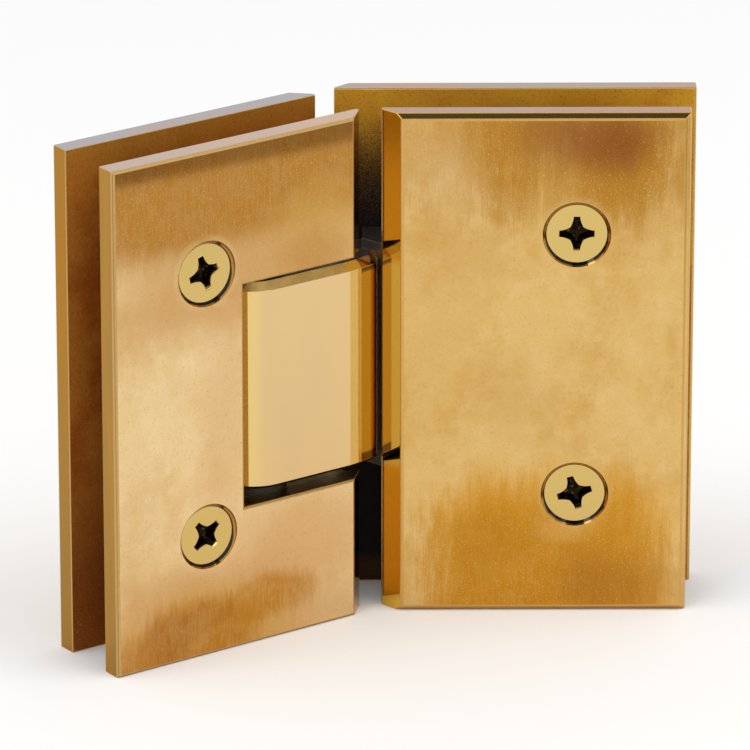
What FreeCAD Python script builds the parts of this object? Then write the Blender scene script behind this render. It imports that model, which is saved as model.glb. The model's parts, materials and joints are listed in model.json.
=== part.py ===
"""Obtuse glass-to-glass shower door hinge, in millimetres, +Z up.

Each leaf clamps a pane between a front plate (concave side) and a back plate (convex side).
Leaf coordinates: "along" runs from the corner where the two panes' mid-planes meet, "out" runs
from a pane's mid-plane to the convex side, and z is 0 at mid-height.
The fixed leaf lies along +X. The door leaf is modelled the same way, then mirrored and turned.
"""
import FreeCAD
import Part
import math
import os

from FreeCAD import Vector

# Driving dimensions of both leaves
leaf_angle = 145.0
plate_height = 90.0
plate_thickness = 4.0
glass_thickness = 8.0
gasket_thickness = 1.0
fixed_edge_bevel = 0.9
door_edge_bevel = 0.4
pivot_bevel_along = 3.4
pivot_bevel_depth = 3.2

# Plate ends, along each leaf
fixed_front_near = 4.8
fixed_front_far = 57.0
fixed_back_near = -3.2
fixed_back_far = 58.4
door_front_near = 2.8
door_back_near = 4.2
door_far = 54.8

# Clamp screws and the sleeves round them
screw_height = 23.5
fixed_screw_along = 37.8
door_screw_along = 36.2
clamp_shank_radius = 3.0
clamp_head_radius = 5.2
clamp_head_sunk = 0.6
clamp_hole_radius = 3.2
sleeve_radius = 4.5
sleeve_gap = 0.2
fixed_cross_turns = {1: 0.0, -1: -15.0}
door_cross_turns = {1: 15.0, -1: 40.0}

# Driver recess, as shares of the head's radius, and of the mouth's size at its foot
recess_arm_share = 0.56
recess_width_share = 0.12
recess_foot_share = 0.55

# Gaskets, set back from the plates' edges
gasket_half_height = 39.0
gasket_corner_radius = 3.0
fixed_gasket_span = (20.0, 48.0)
door_gasket_span = (30.0, 46.5)

# Notch in the door leaf, and the pivot axis on the door pane's mid-plane
notch_along = 28.7
notch_half_height = 20.0
notch_bevel = 0.3
pivot_along = 21.0

# Pivot block, with the x where each facet of its inner end stops and the facet's heading, and its neck
block_half_thickness = 7.4
block_half_height = 18.5
block_top_bevel = 1.3
block_foot_bevel = 0.6
block_facet_start_x = -0.5
block_facets = ((1.4, 41.0), (3.9, 46.0))
neck_near_x = 1.5
neck_corner_y = -0.9
neck_slant = 42.0
neck_far_x = 18.0
neck_half_height = 20.2

# Pin, bushes, washers and carriers
pin_radius = 4.5
pin_half_length = 33.8
pin_end_flat = 3.5
cam_half_width = 3.8
cam_half_height = 9.2
bush_radius = 6.0
bush_length = 8.0
bush_running_gap = 0.05
washer_radius = 5.8
washer_bore_radius = 4.6
washer_thickness = 1.2
carrier_span = (5.0, 27.5)
carrier_top = 36.0

# Inner fixing screws
inner_cross_turns = {1: 45.0, -1: 45.0}
inner_shank_radius = 2.5
inner_head_radius = 4.7
neck_screw_x = 12.0
neck_screw_height = 13.5
carrier_screw_along = 14.0
carrier_screw_height = 28.0

# Detent bar, springs and plugs, on the line from the corner to the pin
bar_length = 8.0
bar_half_width = 2.5
bar_half_height = 8.0
bar_rest_gap = 0.3
bar_slide_gap = 0.1
bar_chamfer = 0.5
spring_height = 4.5
spring_bore_radius = 2.75
spring_coil_radius = 2.0
spring_wire_width = 0.8
spring_wire_height = 0.6
spring_length = 6.4
spring_turns = 4
plug_length = 4.0

# Blind threads, left plain with a small gap, and how far a cutter runs past what it cuts
thread_depth = 3.2
thread_gap = 0.05
past = 20.0

# Worked-out sizes
turn = 180.0 - leaf_angle
half_gap = glass_thickness / 2 + gasket_thickness
outer_face = half_gap + plate_thickness
half_height = plate_height / 2
half_glass = glass_thickness / 2
along_door = Vector(-math.cos(math.radians(turn)), -math.sin(math.radians(turn)), 0)
out_door = Vector(-math.sin(math.radians(turn)), math.cos(math.radians(turn)), 0)
up = Vector(0, 0, 1)
across_leaf = Vector(0, 1, 0)
bar_front = pivot_along - pin_radius - bar_rest_gap
bar_back = bar_front - bar_length
plug_near = bar_back - spring_length
frame_origin = Vector(fixed_screw_along, half_glass, 0)


def prism(points, low, high):
    """A plan outline, given as (x, y) pairs, drawn up between two heights."""
    corners = [Vector(x, y, low) for x, y in points]
    face = Part.Face(Part.makePolygon(corners + corners[:1]))
    return face.extrude(up * (high - low))


def box(x_span, y_span, z_span):
    """A block between two values on each axis."""
    size = [span[1] - span[0] for span in (x_span, y_span, z_span)]
    return Part.makeBox(*size, Vector(x_span[0], y_span[0], z_span[0]))


def rod(radius, start, direction, length):
    """A round bar."""
    return Part.makeCylinder(radius, length, start, direction)


def cone(start_radius, end_radius, start, direction, length):
    """A tapered round bar."""
    return Part.makeCone(start_radius, end_radius, length, start, direction)


def on_door(shape):
    """Moves a shape from leaf coordinates to the door leaf."""
    placed = shape.mirror(Vector(0, 0, 0), Vector(1, 0, 0))
    placed.rotate(Vector(0, 0, 0), up, turn)
    return placed


def door_point(along, out):
    """A plan point of the door leaf, in the fixed leaf's axes."""
    return along_door * along + out_door * out


def plate(near, far, side, bevel):
    """One clamp plate: a plan profile with its end bevels, met by a section with its edge bevels."""
    inner = side * half_gap
    outer = side * outer_face
    tip = side * (outer_face - pivot_bevel_depth)
    eased = side * (outer_face - bevel)
    plan = [(near, inner), (near, tip), (near + pivot_bevel_along, outer)]
    plan += [(far - bevel, outer), (far, eased), (far, inner)]
    section = [(inner, -half_height), (eased, -half_height), (outer, bevel - half_height)]
    section += [(outer, half_height - bevel), (eased, half_height), (inner, half_height)]
    corners = [Vector(near - past, y, z) for y, z in section]
    side_face = Part.Face(Part.makePolygon(corners + corners[:1]))
    side_bar = side_face.extrude(Vector(far - near + 2 * past, 0, 0))
    return prism(plan, -half_height, half_height).common(side_bar)


def tapered_slot(length, half_width, bevel):
    """A slot along +X from the origin whose sides and end flare out by 45 degrees towards +Y."""
    wide = half_width + bevel
    return Part.makeWedge(
        0, 0, -half_width, -wide, 0, length, bevel, half_width, wide, length + bevel
    )


def clamp_holes(along):
    """Countersunk clearance holes for the clamp screws of a front plate."""
    mouth = clamp_head_radius + clamp_head_sunk
    depth = mouth - clamp_hole_radius
    cutters = []
    for level in (-screw_height, screw_height):
        start = Vector(along, -outer_face, level)
        cutters.append(cone(mouth, clamp_hole_radius, start, across_leaf, depth))
        cutters.append(rod(clamp_hole_radius, start, across_leaf, plate_thickness))
    return cutters


def thread_holes(shank_radius, along, height):
    """Blind tapped holes in a back plate's inner face, above and below mid-height."""
    radius = shank_radius + thread_gap
    depth = thread_depth + thread_gap
    return [
        rod(radius, Vector(along, half_gap, level), across_leaf, depth) for level in (-height, height)
    ]


def notch(side):
    """The cut for the pivot block, with bevelled edges on the plate's outer face."""
    cut = box((-past, notch_along), sorted((0, side * past)), (-notch_half_height, notch_half_height))
    flare = tapered_slot(notch_along + past, notch_half_height, notch_bevel)
    flare.translate(Vector(-past, outer_face - notch_bevel, 0))
    if side < 0:
        flare = flare.mirror(Vector(0, 0, 0), across_leaf)
    return cut.fuse(flare)


def fixed_front_plate():
    solid = plate(fixed_front_near, fixed_front_far, -1, fixed_edge_bevel)
    return solid.cut(clamp_holes(fixed_screw_along))


def fixed_back_plate():
    threads = thread_holes(clamp_shank_radius, fixed_screw_along, screw_height)
    threads += thread_holes(inner_shank_radius, neck_screw_x, neck_screw_height)
    return plate(fixed_back_near, fixed_back_far, 1, fixed_edge_bevel).cut(threads)


def door_front_plate():
    solid = plate(door_front_near, door_far, -1, door_edge_bevel).cut(notch(-1))
    return on_door(solid.cut(clamp_holes(door_screw_along)))


def door_back_plate():
    threads = thread_holes(clamp_shank_radius, door_screw_along, screw_height)
    threads += thread_holes(inner_shank_radius, carrier_screw_along, carrier_screw_height)
    return on_door(plate(door_back_near, door_far, 1, door_edge_bevel).cut([notch(1)] + threads))


def gasket(span, along, side):
    """A flat pad with rounded corners and two screw holes, on a plate's inner face."""
    inner = sorted((side * half_glass, side * half_gap))
    pad = box(span, inner, (-gasket_half_height, gasket_half_height))
    corners = [edge for edge in pad.Edges if edge.BoundBox.YLength > gasket_thickness / 2]
    pad = pad.makeFillet(gasket_corner_radius, corners)
    holes = [
        rod(sleeve_radius + sleeve_gap, Vector(along, inner[0], level), across_leaf, gasket_thickness)
        for level in (-screw_height, screw_height)
    ]
    return pad.cut(holes)


def screw_sleeves(along):
    """Soft tubes round the clamp screws, as long as the pane is thick."""
    tubes = []
    for level in (-screw_height, screw_height):
        start = Vector(along, -half_glass, level)
        tube = rod(sleeve_radius, start, across_leaf, glass_thickness)
        tubes.append(tube.cut(rod(clamp_shank_radius, start, across_leaf, glass_thickness)))
    return Part.makeCompound(tubes)


def cross_recess(radius, depth, turned):
    """The cross-shaped driver recess of a screw whose head faces -Y at the origin."""
    arm = radius * recess_arm_share
    half_width = radius * recess_width_share
    low_arm = arm * recess_foot_share
    low_half = half_width * recess_foot_share
    slots = []
    for angle in (turned, turned + 90.0):
        slot = Part.makeWedge(
            -arm, 0, -half_width, -low_half, -low_arm, arm, depth, half_width, low_half, low_arm
        )
        slot.rotate(Vector(0, 0, 0), across_leaf, angle)
        slots.append(slot)
    return slots[0].fuse(slots[1])


def countersunk_screw(head_radius, shank_radius, length, turned):
    """A countersunk screw with its head's face at the origin and its shank along +Y."""
    head_depth = head_radius - shank_radius
    head = cone(head_radius, shank_radius, Vector(0, 0, 0), across_leaf, head_depth)
    shank = rod(shank_radius, Vector(0, head_depth, 0), across_leaf, length - head_depth)
    return head.fuse(shank).removeSplitter().cut(cross_recess(head_radius, head_depth, turned))


def screw_pair(along, level, face, head_radius, shank_radius, length, turns):
    """Two like screws, above and below mid-height."""
    screws = []
    for sign in (1, -1):
        screw = countersunk_screw(head_radius, shank_radius, length, turns[sign])
        screw.translate(Vector(along, face, sign * level))
        screws.append(screw)
    return Part.makeCompound(screws)


def clamp_screws(along, turns):
    face = clamp_head_sunk - outer_face
    length = half_gap + thread_depth - face
    return screw_pair(along, screw_height, face, clamp_head_radius, clamp_shank_radius, length, turns)


def inner_screws(along, height):
    length = 2 * half_gap + thread_depth
    return screw_pair(
        along, height, -half_gap, inner_head_radius, inner_shank_radius, length, inner_cross_turns
    )


def inner_screw_cutters(along, height):
    """Countersunk clearance holes for the hidden screws, through what they hold."""
    cutters = []
    head_depth = inner_head_radius - inner_shank_radius - thread_gap
    for level in (-height, height):
        start = Vector(along, -half_gap, level)
        end_radius = inner_shank_radius + thread_gap
        cutters.append(cone(inner_head_radius, end_radius, start, across_leaf, head_depth))
        cutters.append(rod(end_radius, start, across_leaf, 2 * half_gap))
    return cutters


def block_body():
    """The knuckle: flat faces level with the door, a round end about the pin, a faceted inner end."""
    half = block_half_thickness
    front = door_point(pivot_along, -half)
    nose = door_point(pivot_along + half, 0)
    back = door_point(pivot_along, half)
    reach = (block_facet_start_x - front.x) / -along_door.x
    corners = [front, front - along_door * reach]
    for end_x, heading in block_facets:
        run = end_x - corners[-1].x
        corners.append(corners[-1] + Vector(run, run * math.tan(math.radians(heading)), 0))
    back_reach = (half_gap - back.y) / -along_door.y
    corners += [Vector(corners[-1].x, half_gap, 0), back - along_door * back_reach, back]
    edges = [Part.LineSegment(start, end) for start, end in zip(corners, corners[1:])]
    edges.append(Part.Arc(back, nose, front))
    outline = Part.Wire([edge.toShape() for edge in edges])
    outline.translate(up * -block_half_height)
    body = Part.Face(outline).extrude(up * (2 * block_half_height))
    for level, bevel in ((block_half_height, block_top_bevel), (-block_half_height, block_foot_bevel)):
        flat_edges = [edge for edge in body.Edges if edge.BoundBox.ZLength < bevel]
        rim = [edge for edge in flat_edges if abs(edge.CenterOfMass.z - level) < bevel / 2]
        body = body.makeChamfer(bevel, rim)
    return body


def neck():
    """The tongue that the fixed plates hold, a little taller than the block, with a slanted corner."""
    run = (neck_corner_y + half_gap) / math.tan(math.radians(neck_slant))
    outline = [(neck_near_x, half_gap), (neck_near_x, neck_corner_y), (neck_near_x + run, -half_gap)]
    outline += [(neck_far_x, -half_gap), (neck_far_x, half_gap)]
    return prism(outline, -neck_half_height, neck_half_height)


def detent_cutters():
    """The bar's channel, open to the pin's bore, and the two spring bores behind it."""
    half_width = bar_half_width + bar_slide_gap
    half_slot = bar_half_height + bar_slide_gap
    run = (bar_back - bar_rest_gap, pivot_along)
    channel = box(run, (-half_width, half_width), (-half_slot, half_slot))
    cutters = [on_door(channel)]
    bore_length = bar_back + past
    for level in (-spring_height, spring_height):
        bore = rod(spring_bore_radius, Vector(-past, 0, level), Vector(1, 0, 0), bore_length)
        cutters.append(on_door(bore))
    return cutters


def pivot_block():
    bore_start = door_point(pivot_along, 0) - up * neck_half_height
    bore = rod(bush_radius, bore_start, up, 2 * neck_half_height)
    solid = block_body().fuse(neck()).removeSplitter()
    return solid.cut([bore] + detent_cutters() + inner_screw_cutters(neck_screw_x, neck_screw_height))


def bush(sign):
    """A plain bearing, flush with the block's end."""
    low = min(sign * block_half_height, sign * (block_half_height - bush_length))
    start = door_point(pivot_along, 0) + up * low
    hole = rod(pin_radius + bush_running_gap, start, up, bush_length)
    return rod(bush_radius, start, up, bush_length).cut(hole)


def washer(sign):
    """A thrust washer under a pin carrier."""
    low = min(sign * notch_half_height, sign * (notch_half_height - washer_thickness))
    start = door_point(pivot_along, 0) + up * low
    hole = rod(washer_bore_radius, start, up, washer_thickness)
    return rod(washer_radius, start, up, washer_thickness).cut(hole)


def end_flats():
    """What is cut from the pin's two ends, so that the carriers turn it."""
    flats = []
    for sign in (1, -1):
        heights = sorted((sign * notch_half_height, sign * carrier_top))
        flats.append(box((0, 2 * pivot_along), (-past, -pin_end_flat), heights))
    return flats


def pin_in_leaf():
    """The pin with flats on its ends, before the cam is cut."""
    start = Vector(pivot_along, 0, -pin_half_length)
    return rod(pin_radius, start, up, 2 * pin_half_length).cut(end_flats())


def pivot_pin():
    """The pin, with a square cam at mid-height whose flats face the detent bar at every quarter turn."""
    zone = box((0, 2 * pivot_along), (-past, past), (-cam_half_height, cam_half_height))
    across = (pivot_along - cam_half_width, pivot_along + cam_half_width)
    square = box(across, (-cam_half_width, cam_half_width), (-cam_half_height, cam_half_height))
    return on_door(pin_in_leaf().cut(zone.cut(square)))


def pin_carrier(sign):
    """A block between the door plates that holds one end of the pin."""
    heights = sorted((sign * notch_half_height, sign * carrier_top))
    solid = box(carrier_span, (-half_gap, half_gap), heights)
    cutters = inner_screw_cutters(carrier_screw_along, carrier_screw_height)
    return on_door(solid.cut([pin_in_leaf()] + cutters))


def detent_bar():
    """The bar as it stands when a corner of the cam passes: clear of the pin's full radius."""
    heights = (-bar_half_height, bar_half_height)
    bar = box((bar_back, bar_front), (-bar_half_width, bar_half_width), heights)
    long_edges = [edge for edge in bar.Edges if edge.BoundBox.ZLength > bar_half_height]
    return on_door(bar.makeChamfer(bar_chamfer, long_edges))


def detent_springs():
    """Two coil springs of flat wire behind the bar."""
    springs = []
    pitch = (spring_length - spring_wire_height) / spring_turns
    radii = (spring_coil_radius - spring_wire_width / 2, spring_coil_radius + spring_wire_width / 2)
    rise = spring_wire_height / 2
    corners = [Vector(radii[0], 0, -rise), Vector(radii[1], 0, -rise)]
    corners += [Vector(radii[1], 0, rise), Vector(radii[0], 0, rise)]
    wire_section = Part.makePolygon(corners + corners[:1])
    for level in (-spring_height, spring_height):
        path = Part.makeHelix(pitch, pitch * spring_turns, spring_coil_radius)
        coil = Part.Wire(path).makePipeShell([wire_section], True, True)
        coil.rotate(Vector(0, 0, 0), across_leaf, 90.0)
        coil.translate(Vector(plug_near + rise, 0, level))
        springs.append(on_door(coil))
    return Part.makeCompound(springs)


def spring_plugs():
    """Round plugs that close the spring bores."""
    plugs = []
    for level in (-spring_height, spring_height):
        start = Vector(plug_near - plug_length, 0, level)
        plugs.append(on_door(rod(spring_bore_radius, start, Vector(1, 0, 0), plug_length)))
    return Part.makeCompound(plugs)


nodes = {
    "fixed_front_plate": fixed_front_plate(),
    "fixed_back_plate": fixed_back_plate(),
    "fixed_front_gasket": gasket(fixed_gasket_span, fixed_screw_along, -1),
    "fixed_back_gasket": gasket(fixed_gasket_span, fixed_screw_along, 1),
    "fixed_clamp_screws": clamp_screws(fixed_screw_along, fixed_cross_turns),
    "fixed_screw_sleeves": screw_sleeves(fixed_screw_along),
    "pivot_block": pivot_block(),
    "block_fixing_screws": inner_screws(neck_screw_x, neck_screw_height),
    "upper_bush": bush(1),
    "lower_bush": bush(-1),
    "detent_springs": detent_springs(),
    "spring_plugs": spring_plugs(),
    "detent_bar": detent_bar(),
    "door_front_plate": door_front_plate(),
    "door_back_plate": door_back_plate(),
    "door_front_gasket": on_door(gasket(door_gasket_span, door_screw_along, -1)),
    "door_back_gasket": on_door(gasket(door_gasket_span, door_screw_along, 1)),
    "door_clamp_screws": on_door(clamp_screws(door_screw_along, door_cross_turns)),
    "door_screw_sleeves": on_door(screw_sleeves(door_screw_along)),
    "pivot_pin": pivot_pin(),
    "upper_pin_carrier": pin_carrier(1),
    "lower_pin_carrier": pin_carrier(-1),
    "carrier_screws": on_door(inner_screws(carrier_screw_along, carrier_screw_height)),
    "upper_washer": washer(1),
    "lower_washer": washer(-1),
}

os.makedirs("parts", exist_ok=True)
for name, shape in nodes.items():
    shape.translate(-frame_origin)
    shape.exportStep(f"parts/{name}.step")
    sound = all(solid.isValid() for solid in shape.Solids)
    print(f"{name}: {len(shape.Solids)} solids, {shape.Volume:.1f} mm3, valid {sound}")
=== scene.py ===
"""Looks of an obtuse glass-to-glass shower door hinge in polished, heat-stained brass.

Lengths are metres in the part's frame, and millimetres in the leaf coordinates that the finishes use:
"along" runs from the corner where the two panes' mid-planes meet, and "height" is 0 at mid-height.
"""
import json
import math

import bmesh
import bpy
from mathutils import Matrix, Vector

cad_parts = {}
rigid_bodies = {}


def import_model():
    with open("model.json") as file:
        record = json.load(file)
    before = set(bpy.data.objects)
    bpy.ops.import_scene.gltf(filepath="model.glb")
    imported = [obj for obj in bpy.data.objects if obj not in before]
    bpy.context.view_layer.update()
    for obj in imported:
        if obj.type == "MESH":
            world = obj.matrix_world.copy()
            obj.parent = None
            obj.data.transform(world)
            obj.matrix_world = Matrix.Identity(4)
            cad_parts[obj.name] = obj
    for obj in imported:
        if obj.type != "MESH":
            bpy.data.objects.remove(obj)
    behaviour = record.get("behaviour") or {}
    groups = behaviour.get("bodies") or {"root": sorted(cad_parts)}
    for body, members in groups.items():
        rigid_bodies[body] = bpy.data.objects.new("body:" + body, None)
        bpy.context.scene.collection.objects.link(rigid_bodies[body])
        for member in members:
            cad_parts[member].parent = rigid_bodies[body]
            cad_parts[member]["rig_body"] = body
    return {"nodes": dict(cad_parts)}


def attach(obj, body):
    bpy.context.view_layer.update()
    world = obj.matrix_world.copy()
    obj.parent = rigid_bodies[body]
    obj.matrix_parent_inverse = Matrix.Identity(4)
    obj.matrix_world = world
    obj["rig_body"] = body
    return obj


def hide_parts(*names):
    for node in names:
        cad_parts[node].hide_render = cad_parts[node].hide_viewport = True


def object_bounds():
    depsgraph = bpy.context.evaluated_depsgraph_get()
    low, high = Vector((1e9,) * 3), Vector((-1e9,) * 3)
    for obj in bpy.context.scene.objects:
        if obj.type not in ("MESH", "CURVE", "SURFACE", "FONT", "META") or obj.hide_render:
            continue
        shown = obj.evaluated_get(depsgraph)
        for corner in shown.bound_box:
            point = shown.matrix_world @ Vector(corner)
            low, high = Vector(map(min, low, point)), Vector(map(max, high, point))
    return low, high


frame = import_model()
cad_low, cad_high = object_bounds()
scene = bpy.context.scene
scene.view_settings.view_transform = "Standard"

# Units, directions, and the corner where the two panes' mid-planes meet
mm = 0.001
micron = 0.000001
up = Vector((0, 0, 1))
fixed_pane_way = Vector((1, 0, 0))
corner = Vector((-37.8, -4.0, 0.0)) * mm

# Driving dimensions, in millimetres and degrees
leaf_angle = 145.0
front_face = 9.0
notch_along = 28.7
notch_half_height = 20.0
block_half_height = 18.5
block_end_x = 3.9
neck_margin = 0.3
gold_side_heading = 41.0
orange_side_heading = 46.0
screw_height = 23.5
inner_hole_reach = 3.2
head_radius = 5.2
head_sunk = 0.6
sink_mouth = head_radius + head_sunk
shank_radius = 3.0
screw_length = 16.6


class Leaf:
    """One half of the hinge: its body, which way it runs and which way its front faces.

    It also has the place along it of its clamp screws, the place and height of the screws hidden inside
    its back plate, and how far its plates' upright edges are rounded.
    """

    def __init__(self, body, heading, front_turn, screw_along, inner_screw, rounding):
        self.body = body
        self.heading = heading
        self.along = Vector((math.cos(heading), math.sin(heading), 0.0))
        front = heading + front_turn
        self.front = Vector((math.cos(front), math.sin(front), 0.0))
        self.screw_along = screw_along
        self.inner_screw = inner_screw
        self.rounding = rounding

    def point(self, along, forward, height):
        """A place in the part's frame, from leaf millimetres; forward is out of the front."""
        return corner + (self.along * along + self.front * forward + up * height) * mm


fixed_leaf = Leaf(
    "fixed_leaf", 0.0, -math.pi / 2, screw_along=37.8, inner_screw=(12.0, 13.5), rounding=0.39,
)
door_leaf = Leaf(
    "door_leaf", -math.radians(leaf_angle), math.pi / 2, screw_along=36.2, inner_screw=(14.0, 28.0),
    rounding=0.20,
)


# Node helpers

class Finish:
    """A procedural material, with one short call for each kind of node that the finishes use."""

    def __init__(self, name):
        self.material = bpy.data.materials.new(name)
        self.material.use_nodes = True
        self.tree = self.material.node_tree
        self.shader = self.tree.nodes["Principled BSDF"]
        self.place = self.add("ShaderNodeTexCoord").outputs["Object"]

    def add(self, kind, **settings):
        """A new node of a kind, with its own settings."""
        node = self.tree.nodes.new(kind)
        for name, value in settings.items():
            setattr(node, name, value)
        return node

    def feed(self, socket, value):
        """Links a socket to another node's output, or sets it to a plain value."""
        if isinstance(value, bpy.types.NodeSocket):
            self.tree.links.new(value, socket)
        else:
            socket.default_value = value

    def set(self, **values):
        """Feeds the shader's own sockets, named with underscores."""
        for name, value in values.items():
            self.feed(self.shader.inputs[name.replace("_", " ")], value)

    def math(self, operation, first, second=0.0, third=0.0):
        """One step of arithmetic on up to three values."""
        node = self.add("ShaderNodeMath", operation=operation)
        for socket, value in zip(node.inputs, (first, second, third)):
            self.feed(socket, value)
        return node.outputs[0]

    def leaf_place(self, leaf):
        """The place in leaf millimetres, with its height last."""
        node = self.add("ShaderNodeMapping", vector_type="TEXTURE")
        self.feed(node.inputs["Vector"], self.place)
        node.inputs["Location"].default_value = corner
        node.inputs["Rotation"].default_value = (0.0, 0.0, leaf.heading)
        node.inputs["Scale"].default_value = (mm, mm, mm)
        return node.outputs[0]

    def along_and_height(self, leaf_place):
        """The two leaf coordinates that a plate's stains vary with."""
        node = self.add("ShaderNodeSeparateXYZ")
        self.feed(node.inputs[0], leaf_place)
        return node.outputs["X"], node.outputs["Z"]

    def stretch(self, vector, scale):
        """A vector with each of its parts scaled, for marks that are longer one way."""
        node = self.add("ShaderNodeVectorMath", operation="MULTIPLY")
        self.feed(node.inputs[0], vector)
        node.inputs[1].default_value = scale
        return node.outputs[0]

    def noise(self, vector, scale, detail, roughness):
        """Noise about 0.5, with its scale in cycles for each unit of the vector."""
        node = self.add("ShaderNodeTexNoise")
        self.feed(node.inputs["Vector"], vector)
        node.inputs["Scale"].default_value = scale
        node.inputs["Detail"].default_value = detail
        node.inputs["Roughness"].default_value = roughness
        return node.outputs["Fac"]

    def sway(self, value, noise, amount):
        """Moves a value to and fro with a noise, over a range of the amount."""
        return self.math("MULTIPLY_ADD", self.math("SUBTRACT", noise, 0.5), amount, value)

    def between(self, value, low, high, start=0.0, end=1.0):
        """Goes smoothly from start to end as the value goes from low to high."""
        node = self.add("ShaderNodeMapRange", interpolation_type="SMOOTHSTEP")
        limits = {"Value": value, "From Min": low, "From Max": high, "To Min": start, "To Max": end}
        for name, given in limits.items():
            self.feed(node.inputs[name], given)
        return node.outputs["Result"]

    def mix(self, share, first, second):
        """One colour to another, by a share from 0 to 1."""
        node = self.add("ShaderNodeMix", data_type="RGBA")
        self.feed(node.inputs["Factor"], share)
        for socket, value in ((node.inputs[6], first), (node.inputs[7], second)):
            self.feed(socket, (*value, 1.0) if isinstance(value, tuple) else value)
        return node.outputs[2]

    def bump(self, height, depth):
        """Surface relief of a given depth in metres, from a height of 0 to 1."""
        node = self.add("ShaderNodeBump")
        node.inputs["Strength"].default_value = 1.0
        node.inputs["Distance"].default_value = depth
        self.feed(node.inputs["Height"], height)
        return node.outputs["Normal"]

    def haze(self):
        """The fine haze that hand polishing leaves."""
        return self.noise(self.place, 900.0, 4.0, 0.6)


# Brass colours, as they show where they mirror white
gold = (0.71, 0.465, 0.165)
bright_gold = (0.78, 0.55, 0.24)
deep_gold = (0.62, 0.365, 0.095)
honey = (0.70, 0.385, 0.070)
pale_gold = (0.80, 0.58, 0.29)
cream = (0.86, 0.66, 0.38)
fawn = (0.72, 0.49, 0.22)
champagne = (0.74, 0.52, 0.245)
clouded_champagne = (0.70, 0.49, 0.235)
nose_highlight = (0.77, 0.555, 0.215)
yellow_brass = (0.66, 0.475, 0.155)
amber = (0.45, 0.21, 0.034)
toffee = (0.42, 0.185, 0.025)
ochre = (0.43, 0.19, 0.018)
mustard = (0.57, 0.252, 0.011)
foot_brown = (0.50, 0.215, 0.023)
tan = (0.57, 0.31, 0.105)
plum = (0.26, 0.088, 0.032)
wine = (0.22, 0.060, 0.016)
peach = (0.67, 0.40, 0.17)
umber = (0.16, 0.07, 0.02)
# Painted shade: near-black for the crevice round screw heads and down the gap at the pivot
shade_black = (0.028, 0.028, 0.032)


def stain(middle, half_size, colour, strength, soft=0.6, wander=1.0, squareness=2.0, brushed=0.0):
    """One stain: its middle and half sizes in leaf millimetres, how its edge fades and wanders, how square
    it is, and how far the buffing has brushed it away in hairlines, from 0 to 1."""
    return dict(
        along=middle[0], height=middle[1], half_width=half_size[0], half_height=half_size[1],
        colour=colour, strength=strength, soft=soft, wander=wander, squareness=squareness, brushed=brushed,
    )


def stain_share(finish, along, height, noise, patch):
    """How much of a stain shows at a place: a squarish patch whose edge wanders with a noise."""
    across = finish.math("DIVIDE", finish.math("SUBTRACT", along, patch["along"]), patch["half_width"])
    upward = finish.math("DIVIDE", finish.math("SUBTRACT", height, patch["height"]), patch["half_height"])
    squareness = patch["squareness"]
    powers = [finish.math("POWER", finish.math("ABSOLUTE", part), squareness) for part in (across, upward)]
    reach = finish.math("POWER", finish.math("ADD", *powers), 1.0 / squareness)
    ragged = finish.sway(reach, noise, patch["wander"])
    return finish.between(ragged, 1.0 + patch["soft"], 1.0 - patch["soft"], 0.0, patch["strength"])


def stained_face(name, leaf, tints, stains, gloss, speckled, screwed=False):
    """A plate's outer face: buffed brass with heat stains and streaks, cleaner round any screws.

    The tints are its darker clouds, its ground and its lighter clouds.
    The gloss is the roughness of its foot and of its head, and speckled is how far specks show in stains.
    """
    finish = Finish(name)
    darker, ground, lighter = tints
    place = finish.leaf_place(leaf)
    along, height = finish.along_and_height(place)
    cloud = finish.noise(finish.stretch(place, (1.0, 1.0, 0.6)), 0.09, 5.0, 0.6)
    mottle = finish.noise(place, 0.30, 6.0, 0.65)
    hairs = finish.noise(finish.stretch(place, (4.2, 4.2, 0.22)), 1.0, 3.0, 0.7)
    fingers = finish.noise(finish.stretch(place, (0.62, 0.62, 0.10)), 1.0, 4.0, 0.6)
    grain = finish.noise(place, 2.6, 3.0, 0.7)
    specks = finish.noise(place, 3.0, 2.0, 0.6)
    drift = finish.math("MULTIPLY_ADD", mottle, 0.4, finish.math("MULTIPLY", cloud, 0.6))
    streaks = finish.math("MULTIPLY_ADD", hairs, 0.4, finish.math("MULTIPLY", fingers, 0.4))
    streaks = finish.math("MULTIPLY_ADD", mottle, 0.2, streaks)
    worn = finish.math("MULTIPLY_ADD", hairs, 0.5, finish.math("MULTIPLY", mottle, 0.5))
    bare = finish.between(specks, 0.57, 0.67, 1.0, 1.0 - speckled)
    colour = finish.mix(finish.between(cloud, 0.30, 0.60), darker, ground)
    colour = finish.mix(finish.between(mottle, 0.40, 0.80, 0.0, 0.55), colour, lighter)
    for patch in stains:
        if patch["brushed"]:
            share = stain_share(finish, along, height, streaks, patch)
            left = finish.between(worn, 0.42, 0.57, 1.0 - patch["brushed"], 1.0)
            left = finish.math("MULTIPLY", left, bare)
        else:
            share = stain_share(finish, along, height, drift, patch)
            left = finish.between(mottle, 0.25, 0.62, 0.84, 1.0)
        colour = finish.mix(finish.math("MULTIPLY", share, left), colour, patch["colour"])
    clean_radius = 6.3
    screw_levels = (screw_height, -screw_height) if screwed else ()
    for level in screw_levels:
        ring = stain((leaf.screw_along, level), (clean_radius, clean_radius), ground, 0.3, 0.15, 0.35)
        colour = finish.mix(stain_share(finish, along, height, mottle, ring), colour, ground)
    colour = finish.mix(finish.between(grain, 0.56, 0.72, 0.0, 0.38), colour, amber)
    colour = finish.mix(finish.between(grain, 0.40, 0.26, 0.0, 0.32), colour, pale_gold)
    polish = finish.between(height, 18.0, 30.0, *gloss)
    rough = finish.math("MULTIPLY_ADD", hairs, 0.03, polish)
    finish.set(Base_Color=colour, Metallic=1.0, Roughness=rough, Normal=finish.bump(hairs, 2 * micron))
    return finish.material


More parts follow.
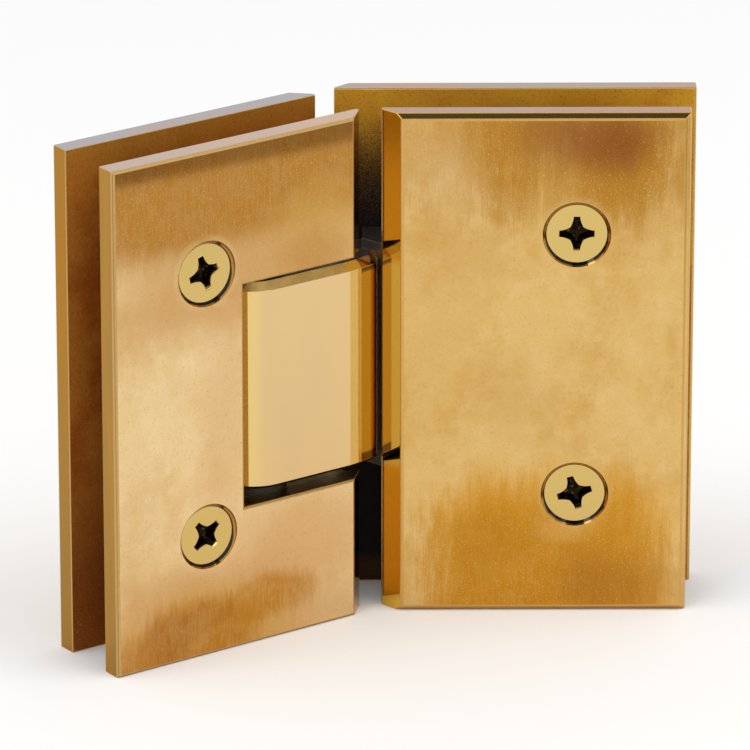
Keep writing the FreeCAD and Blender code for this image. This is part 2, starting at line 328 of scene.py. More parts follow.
def mirror_brass(name, colour, gloss, waviness=10 * micron):
    """Clean polished brass with a slight buffing wave, whose depth is in metres."""
    finish = Finish(name)
    wave = finish.noise(finish.stretch(finish.place, (60.0, 60.0, 25.0)), 1.0, 2.0, 0.4)
    haze = finish.haze()
    tone = finish.mix(finish.between(haze, 0.45, 0.75, 0.0, 0.25), colour, gold)
    rough = finish.math("MULTIPLY_ADD", haze, 0.05, gloss)
    finish.set(Base_Color=tone, Metallic=1.0, Roughness=rough, Normal=finish.bump(wave, waviness))
    return finish.material


def countersink(name, leaf):
    """The tapered wall round a screw head, with painted shade in the crevice where the head beds in it,
    widest below the head.
    """
    finish = Finish(name)
    along, height = finish.along_and_height(finish.leaf_place(leaf))
    across = finish.math("SUBTRACT", along, leaf.screw_along)
    upward = finish.math("SUBTRACT", finish.math("ABSOLUTE", height), screw_height)
    squares = [finish.math("MULTIPLY", part, part) for part in (across, upward)]
    reach = finish.math("SQRT", finish.math("ADD", *squares))
    rub = finish.noise(finish.place, 700.0, 3.0, 0.6)
    # Painted shade: the wall is near-black next to the head, in a band that widens below the head
    below = finish.math("MULTIPLY", finish.math("MULTIPLY", upward, finish.math("SIGN", height)), -1.0)
    shade_shift = finish.between(below, -1.0, 4.0, 0.06, 0.30)
    worn = finish.math("SUBTRACT", finish.sway(reach, rub, 0.10), shade_shift)
    colour = finish.mix(finish.between(worn, head_radius, head_radius + 0.12), shade_black, amber)
    colour = finish.mix(finish.between(worn, sink_mouth - 0.34, sink_mouth - 0.18), colour, umber)
    rough = finish.math("MULTIPLY_ADD", rub, 0.10, 0.06)
    finish.set(Base_Color=colour, Metallic=1.0, Roughness=rough, Normal=finish.bump(rub, 3 * micron))
    return finish.material


def block_face():
    """The block's front, nose and back: mirror brass, clouded a little, with a painted highlight that makes
    it yellower round its nose.
    """
    finish = Finish("block_face")
    along, _ = finish.along_and_height(finish.leaf_place(door_leaf))
    wave = finish.noise(finish.stretch(finish.place, (70.0, 70.0, 30.0)), 1.0, 3.0, 0.5)
    haze = finish.haze()
    rounded = finish.math("MULTIPLY_ADD", wave, 3.0, along)
    colour = finish.mix(finish.between(wave, 0.35, 0.65, 0.0, 0.7), champagne, clouded_champagne)
    # Painted highlight: yellower round the rounded nose
    colour = finish.mix(finish.between(rounded, 24.5, 26.5), colour, nose_highlight)
    rough = finish.math("MULTIPLY_ADD", haze, 0.05, 0.04)
    finish.set(Base_Color=colour, Metallic=1.0, Roughness=rough, Normal=finish.bump(wave, 10 * micron))
    return finish.material


def banded_brass(name, middle, ends, band):
    """Polished brass of one tint at mid-height and of another above and below it, past a band of levels."""
    finish = Finish(name)
    _, height = finish.along_and_height(finish.leaf_place(fixed_leaf))
    haze = finish.haze()
    level = finish.math("MULTIPLY_ADD", haze, 0.3, finish.math("ABSOLUTE", height))
    colour = finish.mix(finish.between(level, *band), middle, ends)
    rough = finish.math("MULTIPLY_ADD", haze, 0.05, 0.04)
    finish.set(Base_Color=colour, Metallic=1.0, Roughness=rough)
    return finish.material


def speckled_brass(name, leaf, light, dark, head, foot):
    """A plate's rough inner face: dull, blotched and pitted brass, with its own tints at its head and foot,
    and painted shade that deepens down the gap at the pivot, where the plates shut out the light."""
    finish = Finish(name)
    along, height = finish.along_and_height(finish.leaf_place(leaf))
    blotch = finish.noise(finish.place, 80.0, 5.0, 0.65)
    pits = finish.noise(finish.place, 2300.0, 3.0, 0.7)
    shade_speckle = finish.noise(finish.place, 4200.0, 2.0, 0.6)
    colour = finish.mix(finish.between(blotch, 0.36, 0.64), light, dark)
    edge = finish.math("MULTIPLY_ADD", blotch, 6.0, height)
    colour = finish.mix(finish.between(edge, 41.0, 48.0, 0.0, 0.70), colour, head)
    colour = finish.mix(finish.between(edge, -2.0, -38.0, 0.0, 0.85), colour, foot)
    colour = finish.mix(finish.between(pits, 0.54, 0.72, 0.0, 0.38), colour, umber)
    colour = finish.mix(finish.between(pits, 0.42, 0.30, 0.0, 0.5), colour, deep_gold)
    # Painted shade in the gap at the pivot: umber, then near-black with a speckled edge, deepening downward
    # and easing a little at the very foot
    in_gap = finish.between(along, 12.0, 8.0)
    upper_gap_shade = finish.math("MULTIPLY", finish.between(height, 43.0, 27.0, 0.0, 0.8), in_gap)
    colour = finish.mix(upper_gap_shade, colour, umber)
    speckled_height = finish.sway(height, shade_speckle, 45.0)
    gap_shade = finish.math("MULTIPLY", finish.between(speckled_height, 41.0, 20.0), in_gap)
    gap_shade = finish.math("MULTIPLY", gap_shade, finish.between(height, -42.0, -39.0, 0.7, 0.97))
    colour = finish.mix(gap_shade, colour, shade_black)
    rough = finish.math("MULTIPLY_ADD", pits, 0.20, 0.72)
    finish.set(Base_Color=colour, Metallic=1.0, Roughness=rough, Normal=finish.bump(pits, 20 * micron))
    return finish.material


def tarnished_edge(name, first, second, drawn):
    """A plate's narrow sides: two tarnish tints that drift into each other along the way it was drawn."""
    finish = Finish(name)
    drift = finish.noise(finish.stretch(finish.place, drawn), 1.0, 4.0, 0.55)
    grain = finish.noise(finish.place, 1500.0, 3.0, 0.6)
    colour = finish.mix(finish.between(drift, 0.40, 0.60), first, second)
    rough = finish.math("MULTIPLY_ADD", grain, 0.12, 0.16)
    finish.set(Base_Color=colour, Metallic=1.0, Roughness=rough, Normal=finish.bump(grain, 4 * micron))
    return finish.material


def dull_metal(name, colour, scale, gloss):
    """Plain turned or milled metal with fine tool marks."""
    finish = Finish(name)
    marks = finish.noise(finish.stretch(finish.place, (scale, scale, scale * 6)), 1.0, 4.0, 0.6)
    darker = tuple(part * 0.82 for part in colour)
    tone = finish.mix(finish.between(marks, 0.35, 0.70), colour, darker)
    rough = finish.math("MULTIPLY_ADD", marks, 0.20, gloss)
    finish.set(Base_Color=tone, Metallic=1.0, Roughness=rough, Normal=finish.bump(marks, 8 * micron))
    return finish.material


def moulded(name, colour, gloss):
    """Moulded plastic or sheet rubber with a fine matt grain."""
    finish = Finish(name)
    grain = finish.noise(finish.place, 1800.0, 4.0, 0.6)
    cloud = finish.noise(finish.place, 90.0, 3.0, 0.5)
    lighter = tuple(part * 1.35 for part in colour)
    tone = finish.mix(finish.between(cloud, 0.35, 0.70), colour, lighter)
    rough = finish.math("MULTIPLY_ADD", grain, 0.25, gloss)
    finish.set(Base_Color=tone, Roughness=rough, Normal=finish.bump(grain, 20 * micron))
    return finish.material


def recess_black():
    """The inside of a driver recess, painted near-black as shade, with painted glints in places."""
    finish = Finish("recess_black")
    recess_shade, glint = (0.018, 0.012, 0.006), (0.30, 0.20, 0.06)
    rub = finish.noise(finish.place, 1400.0, 3.0, 0.6)
    # Painted shade inside the recess, broken by small painted glints
    colour = finish.mix(finish.between(rub, 0.58, 0.72), recess_shade, glint)
    rough = finish.math("MULTIPLY_ADD", rub, 0.30, 0.25)
    finish.set(Base_Color=colour, Metallic=1.0, Roughness=rough, Normal=finish.bump(rub, 20 * micron))
    return finish.material


# Pieces

sharp_angle = math.radians(25.0)
screw_sharp_angle = math.radians(35.0)
flat_angle = math.radians(0.5)
merge_reach = 2 * micron
cut_reach = 0.1 * micron
rounding_steps = 3
square_on = 0.99
slanted = 0.3
half_turned = 0.5
notch_slack = 0.5
sorting_slack = 0.05
heading_slack = 2.0


def softened_copy(node, piece_name, finishes, finish_of, rounding, crisp=None, cuts=()):
    """A copy of a node with its doubles merged, its faces given finishes by name and its edges rounded over.

    The rounding is its width on upright edges, the share of that on the rest, and the name of its finish.
    Edges of faces that have the crisp finish are left sharp.
    Faces that cross one of the cuts, each a place and a direction, are divided there, so that each part
    can have its own finish.
    """
    width, level_share, rounding_finish = rounding
    order = list(finishes)
    mesh = bpy.data.meshes.new(piece_name)
    work = bmesh.new()
    work.from_mesh(frame["nodes"][node].data)
    bmesh.ops.remove_doubles(work, verts=work.verts, dist=merge_reach)
    bmesh.ops.dissolve_limit(work, angle_limit=flat_angle, verts=work.verts, edges=work.edges)
    for place, direction in cuts:
        whole = work.verts[:] + work.edges[:] + work.faces[:]
        bmesh.ops.bisect_plane(work, geom=whole, dist=cut_reach, plane_co=place, plane_no=direction)
    work.normal_update()
    for face in work.faces:
        face.smooth = True
        face.material_index = order.index(finish_of(face))
    weight = work.edges.layers.float.new("bevel_weight_edge")
    for edge in work.edges:
        meets_crisp = any(order[face.material_index] == crisp for face in edge.link_faces)
        sharp = edge.calc_face_angle(0.0) > sharp_angle
        run = (edge.verts[1].co - edge.verts[0].co).normalized()
        if sharp and not meets_crisp:
            edge[weight] = 1.0 if abs(run.z) > square_on else level_share
    work.to_mesh(mesh)
    work.free()
    if "custom_normal" in mesh.attributes:
        mesh.attributes.remove(mesh.attributes["custom_normal"])
    for finish in finishes.values():
        mesh.materials.append(finish)
    mesh.set_sharp_from_angle(angle=sharp_angle)
    piece = bpy.data.objects.new(piece_name, mesh)
    scene.collection.objects.link(piece)
    rounded = piece.modifiers.new("rounding", "BEVEL")
    rounded.width = width
    rounded.segments = rounding_steps
    rounded.limit_method = "WEIGHT"
    rounded.material = order.index(rounding_finish)
    rounded.harden_normals = True
    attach(piece, frame["nodes"][node]["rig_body"])
    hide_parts(node)


def plate_sorter(leaf, outward):
    """Sorts a plate's faces by where they are and which way they face."""

    def finish_of(face):
        facing = face.normal.dot(outward)
        middle = (face.calc_center_median() - corner) / mm
        along, level = middle.dot(leaf.along), abs(middle.z)
        from_screw = math.hypot(along - leaf.screw_along, level - screw_height)
        from_inner_screw = math.hypot(along - leaf.inner_screw[0], level - leaf.inner_screw[1])
        beside_notch = along < notch_along + notch_slack and level < notch_half_height + notch_slack
        if facing > square_on:
            return "outer"
        if facing < -square_on:
            return "inner"
        if from_screw < sink_mouth or from_inner_screw < inner_hole_reach:
            return "sink"
        if leaf is door_leaf and beside_notch:
            return "ceiling" if face.normal.z < -square_on else "notch"
        if abs(face.normal.z) > square_on:
            return "top"
        endwise = face.normal.dot(leaf.along)
        if abs(endwise) > square_on:
            return "end"
        if endwise > half_turned:
            return "outer" if leaf is fixed_leaf else "end"
        return "bevel" if endwise < -slanted else "rim"

    return finish_of


def block_sorter(face):
    """Sorts the block's faces: its polished outside, its two side facets, its rims and the dull neck."""
    middle = (face.calc_center_median() - corner) / mm
    heading = math.degrees(math.atan2(face.normal.x, -face.normal.y))
    on_gold_side = abs(heading - gold_side_heading) < heading_slack
    on_orange_side = abs(heading - orange_side_heading) < heading_slack
    if abs(middle.z) > block_half_height - sorting_slack:
        return "slate"
    if abs(face.normal.z) > slanted:
        return "shaded_rim" if on_orange_side else "rim"
    if middle.x > block_end_x - sorting_slack:
        return "slate"
    if on_orange_side:
        return "orange_side"
    return "gold_side" if on_gold_side else "polished"


def arm_reach(angle):
    """How far the cross recess reaches from the screw's axis, in millimetres, at an angle from an arm."""
    tip, tip_half, flare = 3.0, 0.55, 1.44
    slope = math.tan(angle)
    square = flare / tip ** 2
    line = 2 * flare / tip + slope
    root = line ** 2 - 4 * square * (tip_half + flare)
    reach = tip
    if root > 0:
        reach = min(tip, (line - math.sqrt(root)) / (2 * square))
    return reach / math.cos(angle)


def cross_outline():
    """Points round the cross recess, as angle and reach, closer together at the arms' ends."""
    half_arm = [0.0, 5.0, 10.2, 12.0, 15.0, 19.0, 24.0, 30.0, 37.0, 45.0]
    arm_to_arm = half_arm + [90.0 - angle for angle in reversed(half_arm[1:-1])]
    points = []
    for arm in range(4):
        for angle in arm_to_arm:
            from_arm = min(angle, 90.0 - angle)
            points.append((math.radians(90.0 * arm + angle), arm_reach(math.radians(from_arm))))
    return points


def screw_source():
    """One countersunk screw, its head's face at the origin facing +Z, built up as rings."""
    outline = cross_outline()
    head_depth = head_radius - shank_radius
    tip_chamfer = 0.6
    recess_depth = 2.25
    # Radius and level of each round ring, from the tip up to the head's face
    round_rings = [
        (shank_radius - tip_chamfer, -screw_length), (shank_radius, tip_chamfer - screw_length),
        (shank_radius, -head_depth), (head_radius, -0.12), (head_radius - 0.03, -0.04),
        (head_radius - 0.10, 0.0), (head_radius - 0.16, 0.0),
    ]
    # Share of the cross outline and level of each ring, across the recess's eased mouth and down its wall
    mouth_rings = [(1.10, 0.0), (1.07, 0.0), (1.02, -0.02), (0.99, -0.09)]
    wall_rings = [(0.93, -0.5), (0.62, -1.9)]
    first_recess_row = len(round_rings) + len(mouth_rings)
    rings = [[(angle, radius, level) for angle, reach in outline] for radius, level in round_rings]
    for share, level in mouth_rings + wall_rings:
        rings.append([(angle, reach * share, level) for angle, reach in outline])
    work = bmesh.new()
    recess = work.faces.layers.int.new("recess")
    rows = []
    for ring in rings:
        rows.append([
            work.verts.new(Vector((radius * math.cos(angle), radius * math.sin(angle), level)) * mm)
            for angle, radius, level in ring
        ])
    tip = work.verts.new((0, 0, -screw_length * mm))
    bottom = work.verts.new((0, 0, -recess_depth * mm))
    count = len(outline)
    for row in range(len(rows) - 1):
        for i in range(count):
            j = (i + 1) % count
            face = work.faces.new((rows[row][i], rows[row][j], rows[row + 1][j], rows[row + 1][i]))
            face[recess] = int(row >= first_recess_row)
    for i in range(count):
        j = (i + 1) % count
        work.faces.new((rows[0][j], rows[0][i], tip))
        floor = work.faces.new((rows[-1][i], rows[-1][j], bottom))
        floor[recess] = 1
    for face in work.faces:
        face.smooth = True
    mesh = bpy.data.meshes.new("clamp_screw")
    work.to_mesh(mesh)
    work.free()
    mesh.set_sharp_from_angle(angle=screw_sharp_angle)
    return bpy.data.objects.new("clamp_screw", mesh)


def screw_row_tree():
    """Sets a row of like screws downwards from a first place, each turned on its own axis."""
    tree = bpy.data.node_groups.new("screw_row", "GeometryNodeTree")
    inputs = (
        ("Screw", "NodeSocketObject"), ("Count", "NodeSocketInt"), ("First Place", "NodeSocketVector"),
        ("Spacing", "NodeSocketFloat"), ("Facing", "NodeSocketVector"), ("First Turn", "NodeSocketFloat"),
        ("Last Turn", "NodeSocketFloat"), ("Head Finish", "NodeSocketMaterial"),
        ("Recess Finish", "NodeSocketMaterial"),
    )
    for name, kind in inputs:
        tree.interface.new_socket(name, in_out="INPUT", socket_type=kind)
    tree.interface.new_socket("Geometry", in_out="OUTPUT", socket_type="NodeSocketGeometry")
    nodes, links = tree.nodes, tree.links
    given = nodes.new("NodeGroupInput").outputs
    down = nodes.new("ShaderNodeCombineXYZ")
    flip = nodes.new("ShaderNodeMath")
    flip.operation = "MULTIPLY"
    flip.inputs[1].default_value = -1.0
    links.new(given["Spacing"], flip.inputs[0])
    links.new(flip.outputs[0], down.inputs["Z"])
    line = nodes.new("GeometryNodeMeshLine")
    line.mode = "OFFSET"
    links.new(given["Count"], line.inputs["Count"])
    links.new(given["First Place"], line.inputs["Start Location"])
    links.new(down.outputs[0], line.inputs["Offset"])
    index = nodes.new("GeometryNodeInputIndex")
    turn = nodes.new("ShaderNodeMix")
    links.new(index.outputs[0], turn.inputs["Factor"])
    links.new(given["First Turn"], turn.inputs[2])
    links.new(given["Last Turn"], turn.inputs[3])
    spin = nodes.new("ShaderNodeCombineXYZ")
    links.new(turn.outputs[0], spin.inputs["Z"])
    facing = nodes.new("FunctionNodeEulerToRotation")
    links.new(given["Facing"], facing.inputs[0])
    spun = nodes.new("FunctionNodeEulerToRotation")
    links.new(spin.outputs[0], spun.inputs[0])
    setting = nodes.new("FunctionNodeRotateRotation")
    setting.rotation_space = "LOCAL"
    links.new(facing.outputs[0], setting.inputs[0])
    links.new(spun.outputs[0], setting.inputs[1])
    screw = nodes.new("GeometryNodeObjectInfo")
    links.new(given["Screw"], screw.inputs["Object"])
    place = nodes.new("GeometryNodeInstanceOnPoints")
    links.new(line.outputs[0], place.inputs["Points"])
    links.new(screw.outputs["Geometry"], place.inputs["Instance"])
    links.new(setting.outputs[0], place.inputs["Rotation"])
    real = nodes.new("GeometryNodeRealizeInstances")
    links.new(place.outputs[0], real.inputs[0])
    heads = nodes.new("GeometryNodeSetMaterial")
    links.new(real.outputs[0], heads.inputs["Geometry"])
    links.new(given["Head Finish"], heads.inputs["Material"])
    inside = nodes.new("GeometryNodeInputNamedAttribute")
    inside.data_type = "INT"
    inside.inputs["Name"].default_value = "recess"
    recesses = nodes.new("GeometryNodeSetMaterial")
    links.new(heads.outputs[0], recesses.inputs["Geometry"])
    links.new(inside.outputs["Attribute"], recesses.inputs["Selection"])
    links.new(given["Recess Finish"], recesses.inputs["Material"])
    links.new(recesses.outputs[0], nodes.new("NodeGroupOutput").inputs[0])
    return tree


def screw_row(tree, source, leaf, turns, node, head_finish, recess_finish):
    """The two clamp screws of a leaf, as one plain mesh."""
    holder = bpy.data.objects.new(f"{node}_row", bpy.data.meshes.new(f"{node}_row"))
    scene.collection.objects.link(holder)
    turned = Matrix((up.cross(leaf.front), up, leaf.front)).transposed()
    values = {
        "Screw": source, "Count": 2, "Spacing": 2 * screw_height * mm,
        "First Place": leaf.point(leaf.screw_along, front_face - head_sunk, screw_height),
        "Facing": Vector(turned.to_euler()),
        "First Turn": math.radians(turns[0]), "Last Turn": math.radians(turns[1]),
        "Head Finish": head_finish, "Recess Finish": recess_finish,
    }
    setter = holder.modifiers.new("screws", "NODES")
    setter.node_group = tree
    for item in tree.interface.items_tree:
        if item.in_out == "INPUT":
            setter[item.identifier] = values[item.name]
    evaluated = holder.evaluated_get(bpy.context.evaluated_depsgraph_get())
    mesh = bpy.data.meshes.new_from_object(evaluated)
    holder.modifiers.remove(setter)
    bpy.data.objects.remove(holder)
    screws = bpy.data.objects.new(f"{node}_detailed", mesh)
    scene.collection.objects.link(screws)
    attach(screws, leaf.body)
    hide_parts(node)


def dress(finish, *nodes):
    """Gives carried-over nodes their finish."""
    for node in nodes:
        materials = frame["nodes"][node].data.materials
        materials.clear()
        materials.append(finish)


# Plates
bevel_brass = mirror_brass("bevel_brass", gold, 0.05)
# Painted reflection: the bevel's pale yellow at mid-height, up to the pivot block's height, stands for the
# block mirrored in it; above and below it is ember orange
ember_and_reflection_bevel = banded_brass("ember_and_reflection_bevel", (0.79, 0.69, 0.30), (0.72, 0.42, 0.054), (17.5, 20.0))
shaded_bevel = mirror_brass("shaded_bevel", (0.62, 0.37, 0.11), 0.08)
fixed_sink = countersink("fixed_sink", fixed_leaf)
door_sink = countersink("door_sink", door_leaf)
notch_brass = dull_metal("notch_brass", (0.52, 0.33, 0.09), 300.0, 0.12)
notch_ceiling = dull_metal("notch_ceiling", (0.86, 0.74, 0.48), 300.0, 0.30)
fixed_gold, fixed_tan = (0.78, 0.51, 0.060), (0.66, 0.34, 0.035)
door_tan, door_rust = (0.58, 0.25, 0.038), (0.47, 0.15, 0.020)
fixed_inner = speckled_brass(
    "fixed_inner", fixed_leaf, fixed_gold, fixed_tan, head=(0.70, 0.42, 0.045), foot=fixed_tan,
)
door_inner = speckled_brass(
    "door_inner", door_leaf, door_tan, door_rust, head=(0.52, 0.28, 0.040), foot=(0.33, 0.095, 0.018),
)
lengthwise = (30.0, 30.0, 300.0)
upright = (300.0, 300.0, 20.0)
fixed_front_top = tarnished_edge("fixed_front_top", (0.44, 0.26, 0.17), (0.42, 0.30, 0.23), lengthwise)
fixed_back_top = tarnished_edge("fixed_back_top", (0.47, 0.28, 0.22), (0.35, 0.32, 0.27), lengthwise)
door_front_top = tarnished_edge("door_front_top", (0.60, 0.39, 0.25), (0.52, 0.38, 0.30), lengthwise)
door_back_top = tarnished_edge("door_back_top", (0.36, 0.36, 0.38), (0.42, 0.33, 0.31), lengthwise)
fixed_end = tarnished_edge("fixed_end", (0.27, 0.20, 0.09), (0.38, 0.24, 0.085), upright)
door_front_end = tarnished_edge("door_front_end", (0.45, 0.22, 0.022), (0.39, 0.205, 0.035), upright)
door_back_end = tarnished_edge("door_back_end", (0.43, 0.185, 0.006), (0.37, 0.195, 0.025), upright)
door_rim = mirror_brass("door_rim", (0.54, 0.35, 0.14), 0.40)
fixed_eased = mirror_brass("eased_edge", deep_gold, 0.22)

fixed_front_stains = [
    stain((34, -41), (20.5, 21.5), honey, 0.85, 0.20, 1.2, 4.0, 0.25),
    stain((30, -38), (16.5, 15.5), mustard, 0.95, 0.32, 1.5, 3.0, 0.32),
    stain((46, -36), (6.5, 15), mustard, 0.88, 0.40, 1.6, 2.0, 0.32),
    stain((30, -29), (11, 6), mustard, 0.50, 0.8, 1.8, 2.0, 0.35),
    stain((31, -36), (21, 10), ochre, 0.28, 0.35, 4.0, 2.0, 0.3),
    stain((23, -33), (7, 5), ochre, 0.30, 0.6, 2.6),
    stain((43, -40), (8, 5), plum, 0.32, 0.8, 3.0),
    stain((52, -39), (5, 5), plum, 0.16, 0.9, 2.0),
    stain((36, -30), (4.2, 1.8), gold, 0.35, 0.9, 1.6),
    stain((18, 21), (8, 7), amber, 0.30, 0.9, 1.4),
    stain((14, 6), (9, 13), deep_gold, 0.45, 0.9, 1.4),
    stain((27, -6), (6, 7), amber, 0.22, 0.9, 1.4),
    stain((32, 37), (29, 11), ochre, 0.35, 0.35, 4.0, 2.0, 0.3),
    stain((14, 40), (15, 9), ochre, 0.45, 0.8, 1.6, 2.0, 0.5),
    stain((15, 33), (7, 6), cream, 0.30, 0.9, 1.8, 2.0, 0.6),
    stain((27, 40), (8, 12), ochre, 0.92, 0.5, 2.0, 2.0, 0.38),
    stain((44, 36), (10, 9), ochre, 0.97, 0.45, 2.0, 2.0, 0.20),
    stain((49, 31), (8, 9), ochre, 0.50, 0.8, 1.8, 2.0, 0.30),
    stain((42, 45), (18, 6), ochre, 0.90, 0.6, 1.4, 2.0, 0.25),
    stain((57, 36), (2.5, 8), amber, 0.4, 0.6),
    stain((44, 40), (8, 5.5), wine, 0.60, 0.6, 2.6),
    stain((45, 40), (4, 3.5), wine, 0.45, 0.7, 2.6),
    stain((35, 41), (6, 4.5), plum, 0.50, 0.8, 2.6),
]
door_front_stains = [
    stain((29, 46), (36, 20), toffee, 0.98, 0.22, 0.35, 4.0, 0.10),
    stain((49, 44.5), (10, 3.5), plum, 0.20, 0.8, 1.6),
    stain((13, 26), (10, 8), deep_gold, 0.6, 0.7),
    stain((30, 20), (27, 7.5), tan, 0.88, 0.6),
    stain((33, -2), (5, 20), peach, 0.5, 0.6),
    stain((16, -27), (16, 8), peach, 0.7, 0.6),
    stain((57, 16), (5, 6), tan, 0.40, 0.6),
    stain((14, 23), (7, 4), amber, 0.40, 0.7),
    stain((34, -45), (26, 16), peach, 0.75, 0.4, 0.6),
    stain((40, -36), (18, 7), tan, 0.55, 0.5),
    stain((34, -41), (15, 8.5), deep_gold, 0.85, 0.30, 1.6, 2.6, 0.40),
    stain((53, -43), (9, 6), deep_gold, 0.75, 0.50, 1.6, 2.0, 0.40),
    stain((39, -42), (12, 7.5), foot_brown, 0.95, 0.26, 2.0, 2.6, 0.50),
    stain((24, -37), (9, 4), foot_brown, 0.88, 0.34, 2.2, 2.0, 0.50),
    stain((52, -44), (8, 5), foot_brown, 0.80, 0.5, 1.8, 2.0, 0.50),
    stain((45, -40), (5.5, 4.5), plum, 0.45, 0.6, 2.4, 2.0, 0.4),
    stain((36, -38), (5, 3), plum, 0.28, 0.8, 2.4, 2.0, 0.4),
    stain((54, -43), (4, 3), plum, 0.25, 0.8, 2.4, 2.0, 0.4),
]
back_stains = [
    stain((30, -40), (40, 14), foot_brown, 0.7, 0.45, 1.2, 3.0, 0.4),
    stain((20, 34), (20, 14), amber, 0.7, 0.6, 1.4, 2.0, 0.3),
    stain((46, 30), (9, 12), plum, 0.30, 0.8, 1.6, 2.0, 0.3),
]
warm_tints = (deep_gold, gold, bright_gold)
light_tints = (fawn, pale_gold, cream)
fixed_front_face = stained_face(
    "fixed_front_face", fixed_leaf, warm_tints, fixed_front_stains, (0.22, 0.22), 0.70, screwed=True,
)
door_front_face = stained_face(
    "door_front_face", door_leaf, light_tints, door_front_stains, (0.10, 0.025), 0.25, screwed=True,
)
fixed_back_face = stained_face(
    "fixed_back_face", fixed_leaf, warm_tints, back_stains, (0.20, 0.20), 0.40,
)
door_back_face = stained_face(
    "door_back_face", door_leaf, warm_tints, back_stains, (0.20, 0.20), 0.40,
)

plate_level_share = 0.5
fixed_front = (fixed_front_face, ember_and_reflection_bevel, fixed_front_top, fixed_end, bevel_brass)
fixed_back = (fixed_back_face, bevel_brass, fixed_back_top, fixed_end, bevel_brass)
door_front = (door_front_face, shaded_bevel, door_front_top, door_front_end, door_rim)
door_back = (door_back_face, bevel_brass, door_back_top, door_back_end, door_rim)
leaf_finishes = {
    fixed_leaf: (fixed_inner, fixed_sink, fixed_eased),
    door_leaf: (door_inner, door_sink, door_rim),
}
plates = (
    ("fixed_front_plate", fixed_leaf, 1, fixed_front), ("fixed_back_plate", fixed_leaf, -1, fixed_back),
    ("door_front_plate", door_leaf, 1, door_front), ("door_back_plate", door_leaf, -1, door_back),
)
for node, leaf, side, own_finishes in plates:
    face, bevel, top, end, rim = own_finishes
    inner, sink, eased = leaf_finishes[leaf]
    finishes = {
        "outer": face, "bevel": bevel, "inner": inner, "top": top, "end": end, "sink": sink,
        "notch": notch_brass, "rim": rim, "ceiling": notch_ceiling, "eased": eased,
    }
    softened_copy(
        node, f"{node}_buffed", finishes, plate_sorter(leaf, leaf.front * side),
        (leaf.rounding * mm, plate_level_share, "eased"), crisp="sink",
    )

# Pivot block
block_rounding = (0.3 * mm, 1.0, "rim")
block_rim = mirror_brass("block_rim", (0.63, 0.505, 0.275), 0.06)
gold_side = mirror_brass("gold_side", (0.64, 0.385, 0.10), 0.04)
neck_slate = dull_metal("neck_slate", (0.26, 0.25, 0.245), 300.0, 0.30)
shaded_rim = mirror_brass("shaded_rim", (0.42, 0.20, 0.06), 0.08)
# Painted reflection: the orange facet turns umber near its top and foot, for the dark gap that it mirrors
# there
orange_side = banded_brass("orange_facet", (0.53, 0.24, 0.025), umber, (16.2, 16.8))
block_finishes = {
    "polished": block_face(), "rim": block_rim, "slate": neck_slate, "gold_side": gold_side,
    "orange_side": orange_side, "shaded_rim": shaded_rim,
}
block_cuts = [
    (up * -block_half_height * mm, up), (up * block_half_height * mm, up),
    (corner + fixed_pane_way * (block_end_x + neck_margin) * mm, fixed_pane_way),
]
softened_copy(
    "pivot_block", "pivot_block_polished", block_finishes, block_sorter, block_rounding,
    cuts=block_cuts,
)

# Clamp screws
head_brass = mirror_brass("head_brass", yellow_brass, 0.16, waviness=0.0)
driver_black = recess_black()
clamp_screw = screw_source()
row_tree = screw_row_tree()
screw_rows = (
    (fixed_leaf, (0.0, 15.0), "fixed_clamp_screws"), (door_leaf, (15.0, 40.0), "door_clamp_screws"),
)
for leaf, turns, node in screw_rows:
    screw_row(row_tree, clamp_screw, leaf, turns, node, head_brass, driver_black)
bpy.data.objects.remove(clamp_screw)

# Hidden pieces
dress(mirror_brass("carrier_brass", (0.58, 0.38, 0.14), 0.30), "upper_pin_carrier", "lower_pin_carrier")
dress(
    dull_metal("bright_steel", (0.52, 0.53, 0.55), 500.0, 0.18),
    "pivot_pin", "detent_springs", "spring_plugs", "detent_bar", "block_fixing_screws", "carrier_screws",
)
dress(
    moulded("gasket_sheet", (0.055, 0.055, 0.06), 0.55),
    "fixed_front_gasket", "fixed_back_gasket", "door_front_gasket", "door_back_gasket",
)
dress(moulded("sleeve_plastic", (0.62, 0.62, 0.60), 0.35), "fixed_screw_sleeves", "door_screw_sleeves")
dress(
    moulded("bearing_plastic", (0.02, 0.02, 0.022), 0.35),
    "upper_bush", "lower_bush", "upper_washer", "lower_washer",
)


# Studio

def matt_sheet(name, centre, size, facing, colour, rough):
    """A flat staged sheet of matt paper or board, facing along a direction."""
    finish = Finish(name)
    finish.set(Base_Color=(*colour, 1.0), Roughness=rough, Specular_IOR_Level=0.0)
    mesh = bpy.data.meshes.new(name)
    work = bmesh.new()
    turned = Vector(facing).to_track_quat("Z", "Y").to_matrix().to_4x4()
    bmesh.ops.create_grid(work, x_segments=1, y_segments=1, size=0.5)
    work.transform(Matrix.Translation(centre) @ turned @ Matrix.Diagonal((*size, 1.0, 1.0)))
    work.to_mesh(mesh)
    work.free()
    mesh.materials.append(finish.material)
    sheet = bpy.data.objects.new(name, mesh)
    scene.collection.objects.link(sheet)
    return sheet


def dark_card(name, centre, size, facing, colour):
    """A flag that only the brass mirrors: it is out of the picture and throws no shade."""
    card = matt_sheet(name, centre, size, facing, colour, rough=1.0)
    card.visible_camera = False
    card.visible_diffuse = False
    card.visible_shadow = False


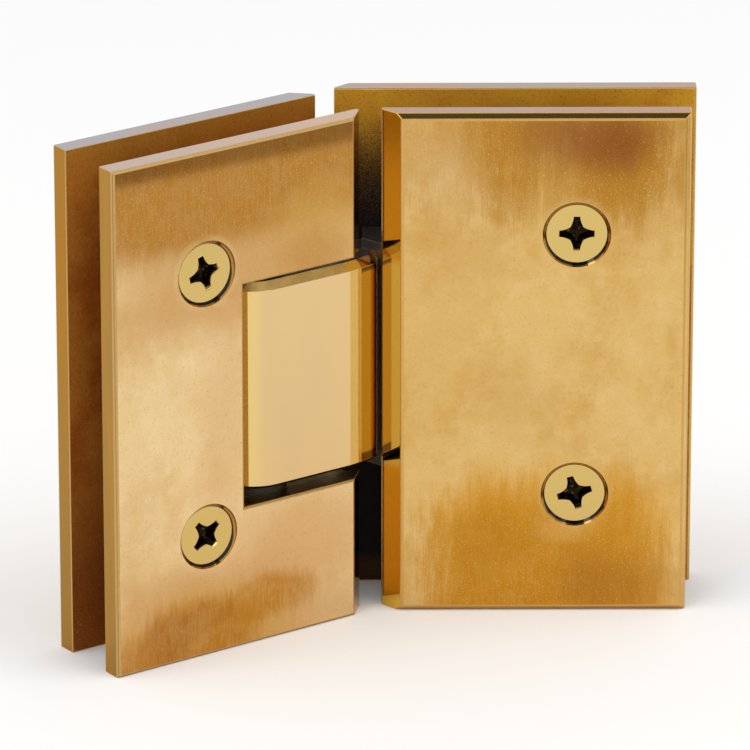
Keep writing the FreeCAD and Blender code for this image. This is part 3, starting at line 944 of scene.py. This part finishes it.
def studio_world(ambient):
    """White where the camera and the metal see it, and a softer light for everything else."""
    world = bpy.data.worlds.new("studio")
    world.use_nodes = True
    nodes, links = world.node_tree.nodes, world.node_tree.links
    background = nodes["Background"]
    background.inputs["Color"].default_value = (1.0, 1.0, 1.0, 1.0)
    rays = nodes.new("ShaderNodeLightPath").outputs
    seen = rays["Is Camera Ray"]
    for name in ("Is Glossy Ray", "Is Transmission Ray"):
        either = nodes.new("ShaderNodeMath")
        either.operation = "MAXIMUM"
        links.new(seen, either.inputs[0])
        links.new(rays[name], either.inputs[1])
        seen = either.outputs[0]
    level = nodes.new("ShaderNodeMapRange")
    level.inputs["To Min"].default_value = ambient
    level.inputs["To Max"].default_value = 1.0
    links.new(seen, level.inputs["Value"])
    links.new(level.outputs["Result"], background.inputs["Strength"])
    scene.world = world


def soft_lamp(name, place, size, power):
    """A large square lamp, aimed at the hinge."""
    data = bpy.data.lights.new(name, "AREA")
    data.shape = "SQUARE"
    data.size = size
    data.energy = power
    lamp = bpy.data.objects.new(name, data)
    lamp.location = place
    lamp.rotation_euler = (-Vector(place)).to_track_quat("-Z", "Y").to_euler()
    scene.collection.objects.link(lamp)


def photo_camera():
    """The photograph's viewpoint, as fitted to the hinge's corners."""
    yaw, elevation = math.radians(-0.43), math.radians(20.46)
    distance, target = 1.3024, Vector((-0.034056, -0.004, -0.005011))
    focal_pixels, frame_pixels = 7603.8, 750.0
    forward = Vector((
        -math.sin(yaw) * math.cos(elevation), math.cos(yaw) * math.cos(elevation), -math.sin(elevation),
    ))
    data = bpy.data.cameras.new("photo_camera")
    data.sensor_width = 36.0
    data.lens = data.sensor_width * focal_pixels / frame_pixels
    data.clip_start, data.clip_end = 0.05, 20.0
    camera = bpy.data.objects.new("photo_camera", data)
    camera.location = target - forward * distance
    camera.rotation_euler = forward.to_track_quat("-Z", "Y").to_euler()
    scene.collection.objects.link(camera)
    scene.camera = camera


matt_sheet(
    "floor", centre=(0, 0, cad_low.z), size=(6.0, 6.0), facing=(0, 0, 1),
    colour=(0.93, 0.93, 0.93), rough=0.9,
)
studio_world(ambient=0.72)
soft_lamp("key", place=(-0.6, -0.45, 1.4), size=0.9, power=6.7)
soft_lamp("fill", place=(0.75, -0.35, 1.2), size=0.9, power=5.5)
dark_card(
    "overhead_flag", centre=(0.0, -0.16, 0.55), size=(0.5, 0.4), facing=(0, 0, -1),
    colour=(0.09, 0.085, 0.08),
)
dark_card(
    "side_flag", centre=(0.180, -0.118, 0.015), size=(0.2, 0.12), facing=(-0.6225, 0.7826, 0.0),
    colour=(0.60, 0.55, 0.50),
)
dark_card(
    "corner_flag", centre=(0.21, -0.02, 0.345), size=(0.3, 0.3), facing=(-0.641, -0.022, -0.767),
    colour=(0.50, 0.46, 0.38),
)
photo_camera()
